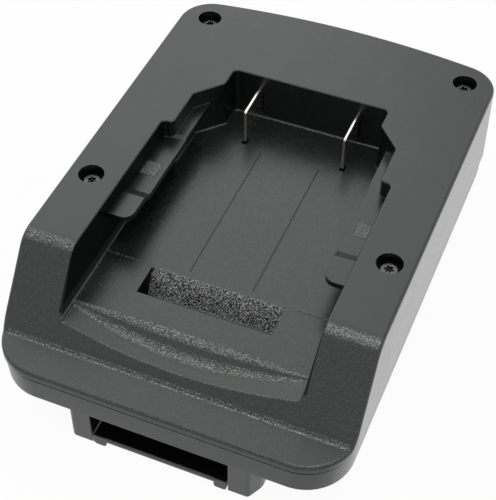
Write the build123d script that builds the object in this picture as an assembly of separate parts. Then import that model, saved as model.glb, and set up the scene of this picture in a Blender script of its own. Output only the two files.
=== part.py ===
from build123d import *
from math import cos, pi, radians, sin, sqrt, tan
import os

# Slide battery adapter, in millimetres. Z is up from the foot's underside, the middle of the
# housing's outline is at X = Y = 0, and a battery slides into the pocket towards +Y.

# Housing, measured at the parting plane: its width follows from the pocket's
housing_length = 129.2
side_land = 15.1
side_taper = 1.4
rear_bow = 4.4
rear_corner_radius = 10.0
front_corner_radius = 12.8
foot_height = 11.0
lower_height = 8.0
upper_height = 22.0
draft_angle = 1.4
wall = 2.5
top_wall = 3.0
edge_round = 0.8
rim_round = 0.5

# Front of the upper shell: a flat apron, then a slope that rolls over into the top
apron_rise = 2.0
apron_depth = 9.2
slope_angle = 54.0
bend_radius = 6.5
crease_round = 0.6

# Battery pocket, measured from its back wall towards the front
rear_land = 29.7
pocket_depth = 13.95
pocket_width = 62.0
neck_step = 3.05
flare_width = 6.15
bay_depth = 6.6
flare_depth = 7.0
neck_length = 12.8
pocket_round = 1.4
pocket_edge_round = 0.4
pocket_floor_round = 0.5
pocket_lean = 0.7

# Rail lips inside the pocket
lip_overhang = 6.2
lip_reach = 58.8
lip_thickness = 1.6
tip_drop = 4.9
lip_drop = 5.4
lip_front_drop = 4.1
ramp_reach = 50.6
ramp_length = 2.8
lip_corner_round = 2.8
pad_reach = 36.7
pad_length = 4.9
pad_height = 0.12
pad_width = 4.6

# Recess that takes a battery's catch, and the trough at the pocket's mouth
recess_reach = 62.7
recess_length = 8.7
recess_width = 34.7
recess_depth = 6.3
recess_slope_length = 3.4
trough_reach = 79.6
trough_depth = 3.15
trough_side_depth = 0.5685
trough_slope_angle = 37.5
trough_roll_radius = 5.0
trough_foot_radius = 6.0
trough_skim = 0.02

# Witness lines that the mould's inserts leave in the pocket's floor
witness_width = 0.25
witness_depth = 0.12
witness_side = 22.7
witness_rear_reach = 14.1
witness_front_reach = 60.6
cross_witness_reach = 62.2
cross_witness_length = 9.6

# Lower shell
lower_inset = 0.3
lower_taper = 0.35
lower_wall = 2.2
lower_floor = 2.0
lower_edge_round = 0.6
seat_gap = 0.35
seat_gap_depth = 0.9
tongue_height = 1.5
tongue_thickness = 1.1
fit_clearance = 0.15
pry_notch_length = 4.0
pry_notch_height = 0.5
side_notch_inset = 15.9
rib_thickness = 1.2
rib_height = 2.6

# Screws that hold the shells together
rear_screw_side = 8.85
front_screw_side = 7.55
rear_screw_inset = 11.2
screw_pitch = 70.25
counterbore_diameter = 6.5
head_recess = 2.0
screw_head_diameter = 5.0
screw_head_height = 1.8
screw_diameter = 2.9
screw_length = 14.0
screw_clearance = 0.25
thread_clearance = 0.03
boss_diameter = 9.0
seat_thickness = 3.0
post_diameter = 7.0
driver_diameter = 2.6
driver_depth = 1.1
driver_lobe_diameter = 0.75
driver_lobes = 6
head_round_share = 0.33
tip_bevel_share = 0.25
socket_depth_share = 0.67

# Contact blades that stand in the pocket and run back through its wall
blade_spacing = 27.86
blade_thickness = 0.8
blade_reach = 11.86
blade_top_drop = 3.35
blade_tab_drop = 6.0
blade_tab_height = 6.0
blade_tab_length = 11.4
blade_toe_length = 1.6
blade_toe_depth = 1.4
blade_corner_round = 0.7
blade_edge_bevel = 0.15
blade_hole_diameter = 2.2
rim_share = 0.4
slot_clearance = 0.3
toe_slot_length = 2.8

# Holder that carries the blades behind the pocket's back wall
holder_depth = 7.5
holder_margin = 4.6
holder_drop = 5.0
holder_height = 8.4
ear_thickness = 2.4
ear_length = 7.0
small_screw_diameter = 2.2
small_head_diameter = 4.0
small_head_height = 1.5
small_screw_length = 5.0
small_boss_diameter = 6.0
screw_tip_space = 0.4

# Foot that slides onto the tool
foot_front_inset = 0.9
foot_length = 98.0
rail_width = 50.0
rail_height = 4.7
groove_height = 4.5
groove_depth = 4.0
groove_front_inset = 14.0
leg_span = 45.8
leg_width = 5.15
leg_corner_round = 4.0
leg_toe_round = 1.2
foot_corner_round = 3.0
channel_length = 32.0
bridge_length = 7.0
foot_floor = 3.0
chamber_length = 20.0
foot_wall = 2.5
foot_screw_spacing = 24.0
foot_screw_length = 8.0

# Release latch, seen between the legs
latch_clearance = 0.45
latch_thickness = 1.6
latch_lift = 1.8
latch_depth = 26.0
bar_depth = 2.6
bar_round = 0.4
lug_width = 3.2
lug_drop = 1.6
lug_depth = 5.0
lug_ramp = 1.4
latch_travel = 3.0
latch_stop_gap = 0.1
guide_spacing = 18.0
guide_inset = 16.0
guide_diameter = 3.4
guide_clearance = 0.1
guide_thread_length = 5.5
guide_head_diameter = 6.4
guide_head_height = 1.2
guide_head_gap = 0.05
guide_boss_diameter = 7.0
guide_boss_height = 4.4
spring_wire = 0.5
spring_diameter = 5.4
spring_turns = 5
spring_end_gap = 0.1
window_margin = 5.5
window_length = 12.0

# Output contacts and their carrier in the foot
output_spacing = 24.0
contact_thickness = 0.5
contact_width = 5.0
contact_length = 12.0
contact_height = 5.6
contact_throat = 0.7
contact_mouth = 2.2
throat_share = 0.8
tail_height = 2.0
tail_width = 3.0
tool_slot_width = 2.4
carrier_floor = 1.0
carrier_height = 6.0
carrier_clearance = 0.3
carrier_screw_pitch = 9.0
carrier_screw_length = 3.4

# Leads from the blades to the output contacts
lead_diameter = 2.4
lead_bend_share = 0.45
lead_rear_run = 7.4
lead_floor_gap = 3.4
sleeve_thickness = 0.4
sleeve_gap = 0.05
sleeve_length = 3.2

# Past a face, so that a cut comes out clean
overrun = 1.0

# Two places closer than this count as the same
tolerance = 0.001

# Widths that follow from the pocket's
neck_width = pocket_width - 2 * neck_step
bay_width = neck_width - 2 * flare_width
lip_gap = pocket_width - 2 * lip_overhang
trough_half_width = pocket_width / 2 - pocket_lean - pocket_floor_round
rear_width = pocket_width + 2 * side_land
front_width = rear_width - 2 * side_taper
rear_screw_spacing = rear_width - 2 * rear_screw_side
front_screw_spacing = pocket_width + 2 * front_screw_side

# Levels and places that follow from the sizes above
lower_z = foot_height
parting_z = lower_z + lower_height
top_z = parting_z + upper_height
floor_z = top_z - pocket_depth
inner_floor_z = lower_z + lower_floor
apron_z = parting_z + apron_rise
front_y = -housing_length / 2
rear_y = housing_length / 2
crease_y = front_y + apron_depth
pocket_y = rear_y - rear_land
bay_y = pocket_y - bay_depth
flare_y = bay_y - flare_depth
step_y = flare_y - neck_length
rear_screw_y = rear_y - rear_screw_inset
front_screw_y = rear_screw_y - screw_pitch
screw_places = [
    (side * spacing / 2, y)
    for spacing, y in ((rear_screw_spacing, rear_screw_y), (front_screw_spacing, front_screw_y))
    for side in (-1, 1)
]
screw_seat_z = top_z - head_recess - screw_head_height
post_top_z = screw_seat_z - seat_thickness
tab_top_z = top_z - blade_tab_drop
tab_bottom_z = tab_top_z - blade_tab_height
tab_end_y = pocket_y + wall + blade_tab_length
holder_top_z = top_z - holder_drop
holder_half_width = blade_spacing / 2 + holder_margin
ear_x = holder_half_width + ear_length / 2
ear_y = pocket_y + wall + holder_depth / 2
foot_front_y = front_y + foot_front_inset
foot_rear_y = foot_front_y + foot_length
channel_half_width = leg_span / 2 - leg_width
channel_rear_y = foot_front_y + channel_length
chamber_rear_y = foot_rear_y - foot_wall
chamber_front_y = chamber_rear_y - chamber_length
chamber_half_width = rail_width / 2 - groove_depth - foot_wall
core_front_y = channel_rear_y + bridge_length
core_rear_y = chamber_front_y - bridge_length
foot_screw_places = [
    (side * foot_screw_spacing / 2, y)
    for y in ((channel_rear_y + core_front_y) / 2, (core_rear_y + chamber_front_y) / 2)
    for side in (-1, 1)
]
latch_top_z = latch_lift + latch_thickness
latch_half_width = channel_half_width - latch_clearance
guide_y = foot_front_y + guide_inset
guide_places = [(side * guide_spacing / 2, guide_y) for side in (-1, 1)]
carrier_front_y = chamber_front_y + carrier_clearance
carrier_rear_y = chamber_rear_y - carrier_clearance
contact_rear_y = carrier_rear_y - carrier_clearance
contact_front_y = contact_rear_y - contact_length
contact_z = foot_floor + carrier_floor
tail_top_z = contact_z + contact_height + tail_height


# Simple solids between named faces

def block(x_min, x_max, y_min, y_max, z_min, z_max):
    """Box between two opposite corners."""
    size = (x_max - x_min, y_max - y_min, z_max - z_min)
    return Pos((x_min + x_max) / 2, (y_min + y_max) / 2, (z_min + z_max) / 2) * Box(*size)


def upright(x, y, diameter, z_min, z_max):
    """Upright cylinder between two levels."""
    alignment = (Align.CENTER, Align.CENTER, Align.MIN)
    return Pos(x, y, z_min) * Cylinder(diameter / 2, z_max - z_min, align=alignment)


def side_prism(points, x_min, x_max):
    """Prism across X whose section is given as (y, z) points."""
    face = Plane.YZ.offset(x_min) * make_face(Polyline(*points, close=True))
    return extrude(face, amount=x_max - x_min)


def plan_prism(face, z_min, z_max):
    """Prism between two levels on a face drawn in plan."""
    return extrude(Pos(0, 0, z_min) * face, amount=z_max - z_min)


def both_sides(solid):
    """A solid and its mirror image across the middle plane."""
    return [solid, mirror(solid, about=Plane.YZ)]


def save(name, solids):
    """Writes one node, which holds one solid or a group of separate ones."""
    group = solids if isinstance(solids, list) else [solids]
    pieces = [piece for item in group for piece in item.solids()]
    node = pieces[0] if len(pieces) == 1 else Compound(children=pieces)
    node.label = name
    export_step(node, f"parts/{name}.step")


# Housing forms

def housing_outline(inset, z):
    """Housing's outline, drawn in by an inset: tapering sides and a bowed rear edge."""
    front_half = front_width / 2 - inset
    corner_y = rear_y - rear_bow - inset
    rear_half = front_half + side_taper * (corner_y - front_y) / housing_length
    front_left = (-front_half, front_y + inset)
    front_right = (front_half, front_y + inset)
    rear_right = (rear_half, corner_y)
    rear_left = (-rear_half, corner_y)
    edges = [
        Line(front_left, front_right),
        Line(front_right, rear_right),
        ThreePointArc(rear_right, (0, rear_y - inset), rear_left),
        Line(rear_left, front_left),
    ]
    face = make_face(edges)
    face = fillet(face.vertices().sort_by(Axis.Y)[2:], rear_corner_radius - inset)
    front_corners = [v for v in face.vertices() if v.Y < front_y + inset + tolerance]
    face = fillet(front_corners, front_corner_radius - inset)
    return Pos(0, 0, z) * face


def housing_block(inset, z_min, z_max, taper_inset):
    """Solid between two outlines, the upper drawn in further than the lower."""
    lower = housing_outline(inset, z_min)
    upper = housing_outline(inset + taper_inset, z_max)
    return loft([lower.face(), upper.face()], ruled=True)


def draft_at(height):
    """Distance that the drafted wall leans in over a height."""
    return height * tan(radians(draft_angle))


def front_profile(inset, bottom_z):
    """Side view of the upper shell, drawn in by an inset, down to a level."""
    rise = top_z - apron_z
    slope_run = rise / tan(radians(slope_angle))
    half_turn = radians(slope_angle) / 2
    apron_shift = inset * tan(half_turn)
    top_y = crease_y + slope_run + apron_shift
    foot_y = crease_y + apron_shift
    apron_level = apron_z - inset
    top_level = top_z - inset
    points = [
        (front_y - overrun, bottom_z),
        (front_y - overrun, apron_level),
        (foot_y, apron_level),
        (top_y, top_level),
        (rear_y + overrun, top_level),
        (rear_y + overrun, bottom_z),
    ]
    face = make_face(Polyline(*points, close=True))
    bend = face.vertices().sort_by_distance((top_y, top_level))[0]
    face = fillet(bend, bend_radius - inset)
    crease = face.vertices().sort_by_distance((foot_y, apron_level))[0]
    face = fillet(crease, crease_round + inset)
    return extrude(Plane.YZ * face, amount=rear_width, both=True)


def pocket_outline():
    """Pocket's outline in plan: terminal bay, flares, neck and the wide mouth."""
    half = [
        (bay_width / 2, pocket_y),
        (bay_width / 2, bay_y),
        (neck_width / 2, flare_y),
        (neck_width / 2, step_y),
        (pocket_width / 2, step_y),
        (pocket_width / 2, front_y - overrun),
    ]
    other = [(-x, y) for x, y in reversed(half)]
    return make_face(Polyline(*half, *other, close=True))


def rounded_pocket_outline():
    """Pocket's outline with its upright corners rounded."""
    face = pocket_outline()
    corners = [v for v in face.vertices() if v.Y > front_y]
    return fillet(corners, pocket_round)


def pocket_void():
    """The pocket's open space, with a small round where its walls meet the floor."""
    void = plan_prism(rounded_pocket_outline(), floor_z, top_z + overrun)
    foot_edges = [e for e in void.faces().sort_by(Axis.Z)[0].edges() if e.center().Y > front_y]
    return fillet(foot_edges, pocket_floor_round)


def leaning_wall():
    """Inner skin of the mouth's right wall: it leans in towards the floor and rounds into it."""
    outer = pocket_width / 2 + wall / 2
    low = floor_z - wall / 2
    foot = pocket_width / 2 - pocket_lean
    shore = foot - 2 * pocket_floor_round
    points = [
        (outer, low),
        (outer, top_z),
        (pocket_width / 2, top_z),
        (foot, floor_z),
        (shore, floor_z),
        (shore, low),
    ]
    face = make_face(Polyline(*points, close=True))
    corner = face.vertices().sort_by_distance((foot, floor_z))[0]
    face = fillet(corner, pocket_floor_round)
    return extrude(Plane.XZ.offset(-front_y) * face, amount=front_y - step_y - wall / 2)


def witness_lines():
    """Hairline grooves along the floor, and one across it on each side."""
    half = witness_width / 2
    low = floor_z - witness_depth
    high = floor_z + overrun
    rear = pocket_y - witness_rear_reach
    front = pocket_y - witness_front_reach
    x = pocket_width / 2 - witness_side
    lines = both_sides(block(x - half, x + half, front, rear, low, high))
    outer = trough_half_width
    y = pocket_y - cross_witness_reach
    return lines + both_sides(block(outer - cross_witness_length, outer, y - half, y + half, low, high))


def pocket_tub():
    """Walls and floor around the pocket, still filled in."""
    grown = offset(pocket_outline(), amount=wall, kind=Kind.INTERSECTION)
    tub = plan_prism(grown, floor_z - wall, top_z)
    trough_rear = pocket_y - trough_reach + wall
    half_width = pocket_width / 2 + wall
    tub += block(-half_width, half_width, front_y, trough_rear, floor_z - trough_depth - wall, floor_z)
    recess_rear = pocket_y - recess_reach + wall
    recess_front = pocket_y - recess_reach - recess_length - wall
    recess_half = recess_width / 2 + wall
    return tub + block(-recess_half, recess_half, recess_front, recess_rear, parting_z, floor_z)


def trough_section(x):
    """Side view of the trough at one place across: it rolls over at the floor into a dish."""
    depth = trough_depth - (trough_depth - trough_side_depth) * (x / trough_half_width) ** 2
    share = depth / trough_depth
    slope = radians(trough_slope_angle)
    roll = trough_roll_radius * share * tan(slope / 2)
    foot = trough_foot_radius * share * tan(slope / 2)
    top_y = pocket_y - trough_reach
    top_level = floor_z + trough_skim
    foot_y = top_y - (depth + trough_skim) / tan(slope)
    foot_level = floor_z - depth
    roll_start = (top_y + roll, top_level)
    roll_end = (top_y - roll * cos(slope), top_level - roll * sin(slope))
    foot_start = (foot_y + foot * cos(slope), foot_level + foot * sin(slope))
    foot_end = (foot_y - foot, foot_level)
    corners = [
        (front_y - overrun, foot_level),
        (front_y - overrun, floor_z + overrun),
        (top_y + roll, floor_z + overrun),
    ]
    edges = [
        TangentArc(roll_start, roll_end, tangent=(-1, 0)),
        Line(roll_end, foot_start),
        TangentArc(foot_end, foot_start, tangent=(1, 0)),
        Polyline(foot_end, *corners, roll_start),
    ]
    return Plane.YZ.offset(x) * make_face(edges)


def trough_void():
    """Dished mouth of the pocket, shallower towards the side walls."""
    half = trough_half_width
    return loft([trough_section(x).face() for x in (-half, -half / 2, 0, half / 2, half)])


def recess_void():
    """Hollow in the pocket's floor for a battery's catch, with a sloping rear face."""
    rear = pocket_y - recess_reach
    front = rear - recess_length
    bottom = floor_z - recess_depth
    points = [
        (rear, floor_z),
        (rear - recess_slope_length, bottom),
        (front, bottom),
        (front, floor_z + overrun),
        (rear, floor_z + overrun),
    ]
    return side_prism(points, -recess_width / 2, recess_width / 2)


def lip_section():
    """One rail lip's run from mouth to tip, as a shelf of even thickness across X."""
    front = pocket_y - lip_reach
    ramp_front = pocket_y - ramp_reach
    ramp_rear = ramp_front + ramp_length
    tip_rear = pocket_y - bay_depth / 2
    top_line = [
        (front, top_z - lip_front_drop),
        (ramp_front, top_z - lip_front_drop),
        (ramp_rear, top_z - lip_drop),
        (step_y, top_z - lip_drop),
        (step_y + pocket_round, top_z - tip_drop),
        (tip_rear, top_z - tip_drop),
    ]
    underside = [(y, z - lip_thickness) for y, z in reversed(top_line)]
    return side_prism(top_line + underside, lip_gap / 2, pocket_width / 2 + wall / 2)


def lip(tub):
    """Right rail lip with its rounded front corner and the pad on its top."""
    front = pocket_y - lip_reach
    corners = [
        (lip_gap / 2, front),
        (pocket_width / 2 + wall / 2, front),
        (pocket_width / 2 + wall / 2, pocket_y),
        (lip_gap / 2, pocket_y),
    ]
    face = make_face(Polyline(*corners, close=True))
    face = fillet(face.vertices().sort_by_distance(corners[0])[0], lip_corner_round)
    shelf = lip_section() & plan_prism(face, floor_z, top_z) & tub
    pad_x = pocket_width / 2 - pad_width
    pad_z = top_z - lip_drop
    pad_front = pocket_y - pad_reach - pad_length
    wall_x = pocket_width / 2 + wall / 2
    pad = block(pad_x, wall_x, pad_front, pad_front + pad_length, pad_z - pad_height, pad_z + pad_height)
    return shelf + pad


# Upper shell

def outer_form():
    """Outside of the upper shell with its visible edges rounded."""
    body = housing_block(0, parting_z, top_z, draft_at(upper_height))
    body = body & front_profile(0, parting_z)
    steep = 0.95
    edges = []
    for edge in body.edges():
        ends = edge @ 1 - edge @ 0
        upright_edge = abs(ends.Z) > steep * edge.length
        at_parting = edge.center().Z < parting_z + rim_round
        inner_crease = abs(edge.center().Y - crease_y) < crease_round and abs(ends.X) > apron_depth
        if not (upright_edge or at_parting or inner_crease):
            edges.append(edge)
    return body, edges


def upper_cavity(tub):
    """Hollow inside the upper shell, around the pocket's tub."""
    depth_z = parting_z - overrun
    lean = draft_at(upper_height)
    room = housing_block(wall, depth_z, top_z, lean) & front_profile(wall, depth_z)
    ceiling = block(-rear_width, rear_width, front_y, rear_y, depth_z, top_z - top_wall)
    return (room & ceiling) - tub


def screw_stations():
    """Bosses and counterbores of the four housing screws: what is added and what is cut."""
    added = []
    cut = []
    for x, y in screw_places:
        added.append(upright(x, y, boss_diameter, post_top_z, top_z - head_recess))
        cut.append(upright(x, y, counterbore_diameter, screw_seat_z, top_z + overrun))
        hole = screw_diameter + 2 * screw_clearance
        cut.append(upright(x, y, hole, post_top_z - overrun, screw_seat_z))
    return added, cut


def blade_slots():
    """Slots for the blades through the pocket's back wall and into its floor."""
    half = blade_thickness / 2 + slot_clearance
    slots = []
    for side in (-1, 1):
        x = side * blade_spacing / 2
        slots.append(block(x - half, x + half, pocket_y - overrun, pocket_y + wall + overrun,
                           tab_bottom_z - slot_clearance, tab_top_z + slot_clearance))
        toe_y = pocket_y - blade_reach - slot_clearance * 2
        slots.append(block(x - half, x + half, toe_y, toe_y + toe_slot_length,
                           floor_z - blade_toe_depth - slot_clearance, floor_z + overrun))
    return slots


def holder_bosses():
    """Bosses under the top wall that the blade holder is screwed to, and their pilot holes."""
    added = []
    cut = []
    for side in (-1, 1):
        x = side * ear_x
        added.append(upright(x, ear_y, small_boss_diameter, holder_top_z, top_z - top_wall / 2))
        pilot = small_screw_diameter + 2 * thread_clearance
        tip_z = holder_top_z - ear_thickness + small_screw_length + screw_tip_space
        cut.append(upright(x, ear_y, pilot, holder_top_z - overrun, tip_z))
    return added, cut


def upper_shell():
    """Upper shell: moulded cover with the battery pocket, rail lips and screw bosses."""
    body, edges = outer_form()
    body = fillet(edges, edge_round)
    tub = pocket_tub()
    shell = body - upper_cavity(tub)
    boss_added, boss_cut = screw_stations()
    holder_added, holder_cut = holder_bosses()
    for solid in boss_added + holder_added:
        shell += solid & body
    shell -= pocket_void()
    for solid in both_sides(leaning_wall()):
        shell += solid & body
    shell = fillet(pocket_rim(shell), pocket_edge_round)
    for solid in [trough_void(), recess_void()] + witness_lines():
        shell -= solid
    for solid in both_sides(lip(tub)):
        shell += solid
    for solid in boss_cut + holder_cut + blade_slots():
        shell -= solid
    return shell


def pocket_rim(shell):
    """Edges where the pocket's walls meet the flat top."""
    near = pocket_edge_round
    rim = []
    for edge in shell.edges():
        box = edge.bounding_box()
        middle = edge.center()
        at_top = box.min.Z > top_z - near
        beside_pocket = abs(middle.X) < pocket_width / 2 + near and crease_y < middle.Y < pocket_y + near
        if at_top and beside_pocket:
            rim.append(edge)
    return rim


# Lower shell

def lower_seat_cut():
    """Narrow gap that shows as the dark line round the parting plane."""
    ring = plan_prism(housing_outline(-overrun, 0), parting_z - seat_gap, parting_z + overrun)
    inner = housing_outline(lower_inset + seat_gap_depth, 0)
    return ring - plan_prism(inner, parting_z - wall, parting_z + wall)


def lower_ledge():
    """Ledge inside the lower shell's rim that the upper shell's wall sits on."""
    inner_inset = wall + draft_at(tongue_height) + fit_clearance + tongue_thickness
    outer = housing_outline(lower_inset + seat_gap_depth, 0)
    ring = plan_prism(outer, parting_z - tongue_height, parting_z)
    return ring - plan_prism(housing_outline(inner_inset, 0), parting_z - wall, parting_z + wall)


def lower_tongue():
    """Tongue inside the upper shell's wall, behind the solid apron."""
    outer_inset = wall + draft_at(tongue_height) + fit_clearance
    inner = housing_outline(outer_inset + tongue_thickness, 0)
    ring = plan_prism(housing_outline(outer_inset, 0), parting_z - tongue_height, parting_z + tongue_height)
    ring -= plan_prism(inner, parting_z - wall, parting_z + wall)
    start_y = crease_y + apron_depth
    return ring & block(-rear_width, rear_width, start_y, rear_y, parting_z - wall, parting_z + wall)


def lower_ribs():
    """Stiffening ribs on the lower shell's floor."""
    inner_half = front_width / 2 - lower_wall
    top = inner_floor_z + rib_height
    ribs = []
    for x in (-rail_width / 2, rail_width / 2):
        ribs.append(block(x - rib_thickness / 2, x + rib_thickness / 2,
                          front_y + wall, rear_y - wall - rear_bow, inner_floor_z - rib_thickness, top))
    for y in (front_screw_y, (front_screw_y + rear_screw_y) / 2):
        for side in (-1, 1):
            near, far = sorted((side * rail_width / 2, side * inner_half))
            ribs.append(block(near, far, y - rib_thickness / 2, y + rib_thickness / 2,
                              inner_floor_z - rib_thickness, top))
    return ribs


def lead_window():
    """Opening in the lower shell's floor that the leads pass down through."""
    half_width = output_spacing / 2 + window_margin / 2
    y = lead_drop_y()
    return block(-half_width, half_width, y - window_length / 2, y + window_length / 2,
                 lower_z - overrun, inner_floor_z + overrun)


def lower_shell():
    """Lower shell: shallow tray with posts for the housing screws."""
    body = housing_block(lower_inset + lower_taper, lower_z, parting_z, -lower_taper)
    hollow = housing_block(lower_inset + lower_taper + lower_wall, inner_floor_z,
                           parting_z + overrun, -lower_taper)
    bottom = body.faces().sort_by(Axis.Z)[0]
    shell = fillet(bottom.edges(), lower_edge_round) - hollow
    shell += lower_ledge() + lower_tongue()
    shell -= lower_seat_cut()
    for rib in lower_ribs():
        shell += rib
    for x, y in screw_places:
        shell += upright(x, y, post_diameter, inner_floor_z - lower_floor / 2, post_top_z)
        pilot = screw_diameter + 2 * thread_clearance
        shell -= upright(x, y, pilot, screw_seat_z - screw_length - screw_tip_space, top_z)
    for x, y in guide_places:
        boss_top = inner_floor_z + guide_boss_height
        shell += upright(x, y, guide_boss_diameter, inner_floor_z - lower_floor / 2, boss_top)
        pilot = screw_diameter + 2 * thread_clearance
        shell -= upright(x, y, pilot, lower_z - overrun, lower_z + guide_thread_length + screw_tip_space)
    hole = small_screw_diameter + 2 * screw_clearance
    head_room = small_head_diameter + 2 * screw_clearance
    for x, y in foot_screw_places:
        shell -= upright(x, y, hole, lower_z - overrun, inner_floor_z + rib_height)
        shell -= upright(x, y, head_room, inner_floor_z, inner_floor_z + 2 * rib_height)
    shell -= lead_window()
    for notch in pry_notches():
        shell -= notch
    return shell


def pry_notches():
    """Two shallow notches under the parting plane where the shells can be prised apart."""
    half = pry_notch_length / 2
    depth = lower_inset + seat_gap_depth
    top = parting_z
    bottom = parting_z - seat_gap - pry_notch_height
    side_x = front_width / 2
    front = block(-half, half, front_y - overrun, front_y + depth, bottom, top)
    side_y = front_y + side_notch_inset
    side = block(side_x - depth, side_x + overrun, side_y - half, side_y + half, bottom, top)
    return [front, side]


# Screws

def driven_screw(x, y, seat_z, head, height, shank, length, up):
    """Pan-head screw with a six-lobed socket, pointing down, or up where asked."""
    body = upright(0, 0, head, 0, height)
    top = body.edges().filter_by(GeomType.CIRCLE).sort_by(Axis.Z)[-1]
    body = fillet(top, height * head_round_share)
    body += upright(0, 0, shank, -length, 0)
    tip = body.edges().filter_by(GeomType.CIRCLE).sort_by(Axis.Z)[0]
    body = chamfer(tip, shank * tip_bevel_share)
    scale = head / screw_head_diameter
    socket_radius = driver_diameter / 2 * scale
    lobe_diameter = driver_lobe_diameter * scale
    depth = min(driver_depth, height * socket_depth_share)
    floor = height - depth
    place = socket_radius - lobe_diameter / 2
    socket = upright(0, 0, 2 * place, floor, height + overrun)
    for index in range(driver_lobes):
        angle = 2 * pi * index / driver_lobes
        socket += upright(place * cos(angle), place * sin(angle), lobe_diameter, floor, height + overrun)
    body -= socket
    turn = Rot(X=180) if up else Rot(X=0)
    return Pos(x, y, seat_z) * turn * body


def housing_screws():
    """Four screws that draw the two shells together."""
    return [driven_screw(x, y, screw_seat_z, screw_head_diameter, screw_head_height,
                         screw_diameter, screw_length, False) for x, y in screw_places]


def holder_screws():
    """Two screws that hold the blade holder under the top wall."""
    seat = holder_top_z - ear_thickness
    return [driven_screw(side * ear_x, ear_y, seat, small_head_diameter, small_head_height,
                         small_screw_diameter, small_screw_length, True) for side in (-1, 1)]


def foot_screws():
    """Four screws that hold the foot under the lower shell."""
    return [driven_screw(x, y, inner_floor_z, small_head_diameter, small_head_height,
                         small_screw_diameter, foot_screw_length, False) for x, y in foot_screw_places]


def carrier_screw_places():
    """Places of the two screws on the carrier's middle line."""
    middle = (carrier_front_y + carrier_rear_y) / 2
    return [(0, middle - carrier_screw_pitch / 2), (0, middle + carrier_screw_pitch / 2)]


def carrier_screws():
    """Two screws that hold the contact carrier down in the foot."""
    seat = foot_floor + carrier_floor
    places = carrier_screw_places()
    return [driven_screw(x, y, seat, small_head_diameter, small_head_height,
                         small_screw_diameter, carrier_screw_length, False) for x, y in places]


# Blades and their holder

def blade(side):
    """Upright contact blade: a tongue in the pocket, a toe in the floor and a tab behind the wall."""
    nose_y = pocket_y - blade_reach
    nose_top = top_z - blade_top_drop
    points = [
        (nose_y, floor_z - blade_toe_depth),
        (nose_y, nose_top),
        (pocket_y, nose_top),
        (pocket_y, tab_top_z),
        (tab_end_y, tab_top_z),
        (tab_end_y, tab_bottom_z),
        (pocket_y, tab_bottom_z),
        (pocket_y, floor_z + pocket_floor_round),
        (pocket_y - pocket_floor_round, floor_z),
        (nose_y + blade_toe_length, floor_z),
        (nose_y + blade_toe_length, floor_z - blade_toe_depth),
    ]
    x = side * blade_spacing / 2
    plate = side_prism(points, x - blade_thickness / 2, x + blade_thickness / 2)
    nose = plate.edges().filter_by(Axis.X).sort_by_distance((x, nose_y, nose_top))[0]
    plate = fillet(nose, blade_corner_round)
    rim = [e for e in plate.edges() if abs(e.center().X - x) > blade_thickness * rim_share]
    clear_y = pocket_y - blade_thickness
    nose_rim = [e for e in rim if e.center().Y < clear_y and e.center().Z > floor_z + overrun]
    plate = chamfer(nose_rim, blade_edge_bevel)
    hole_y = tab_end_y - blade_hole_diameter
    hole = Pos(x, hole_y, (tab_top_z + tab_bottom_z) / 2) * Rot(Y=90)
    return plate - hole * Cylinder(blade_hole_diameter / 2, blade_thickness + overrun)


def blade_holder():
    """Moulded holder that grips both blades behind the pocket, with an ear at each end."""
    rear = pocket_y + wall + holder_depth
    body = block(-holder_half_width, holder_half_width, pocket_y + wall, rear,
                 holder_top_z - holder_height, holder_top_z)
    upper_edges = body.edges().filter_by(Axis.X).group_by(Axis.Y)[-1]
    body = fillet(upper_edges, edge_round)
    for side in (-1, 1):
        root_x = side * (holder_half_width - edge_round)
        near, far = sorted((root_x, side * (holder_half_width + ear_length)))
        body += block(near, far, pocket_y + wall, rear, holder_top_z - ear_thickness, holder_top_z)
        body -= upright(side * ear_x, ear_y, small_screw_diameter + 2 * screw_clearance,
                        holder_top_z - holder_height, holder_top_z + overrun)
        x = side * blade_spacing / 2
        half = blade_thickness / 2 + thread_clearance
        body -= block(x - half, x + half, pocket_y, rear + overrun,
                      tab_bottom_z - thread_clearance, tab_top_z + thread_clearance)
    return body


# Foot

def foot_outline():
    """Foot's outline in plan: narrower legs at the front with rounded shoulders."""
    half = rail_width / 2
    shoulder_y = foot_front_y + leg_corner_round
    points = [
        (-half, foot_rear_y),
        (-half, shoulder_y),
        (-leg_span / 2, foot_front_y),
        (leg_span / 2, foot_front_y),
        (half, shoulder_y),
        (half, foot_rear_y),
    ]
    face = make_face(Polyline(*points, close=True))
    shoulders = [v for v in face.vertices() if abs(v.Y - shoulder_y) < overrun / 2]
    face = fillet(shoulders, leg_corner_round)
    toes = [v for v in face.vertices() if abs(v.Y - foot_front_y) < overrun / 2]
    face = fillet(toes, leg_toe_round)
    rears = [v for v in face.vertices() if abs(v.Y - foot_rear_y) < overrun / 2]
    return fillet(rears, foot_corner_round)


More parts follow.
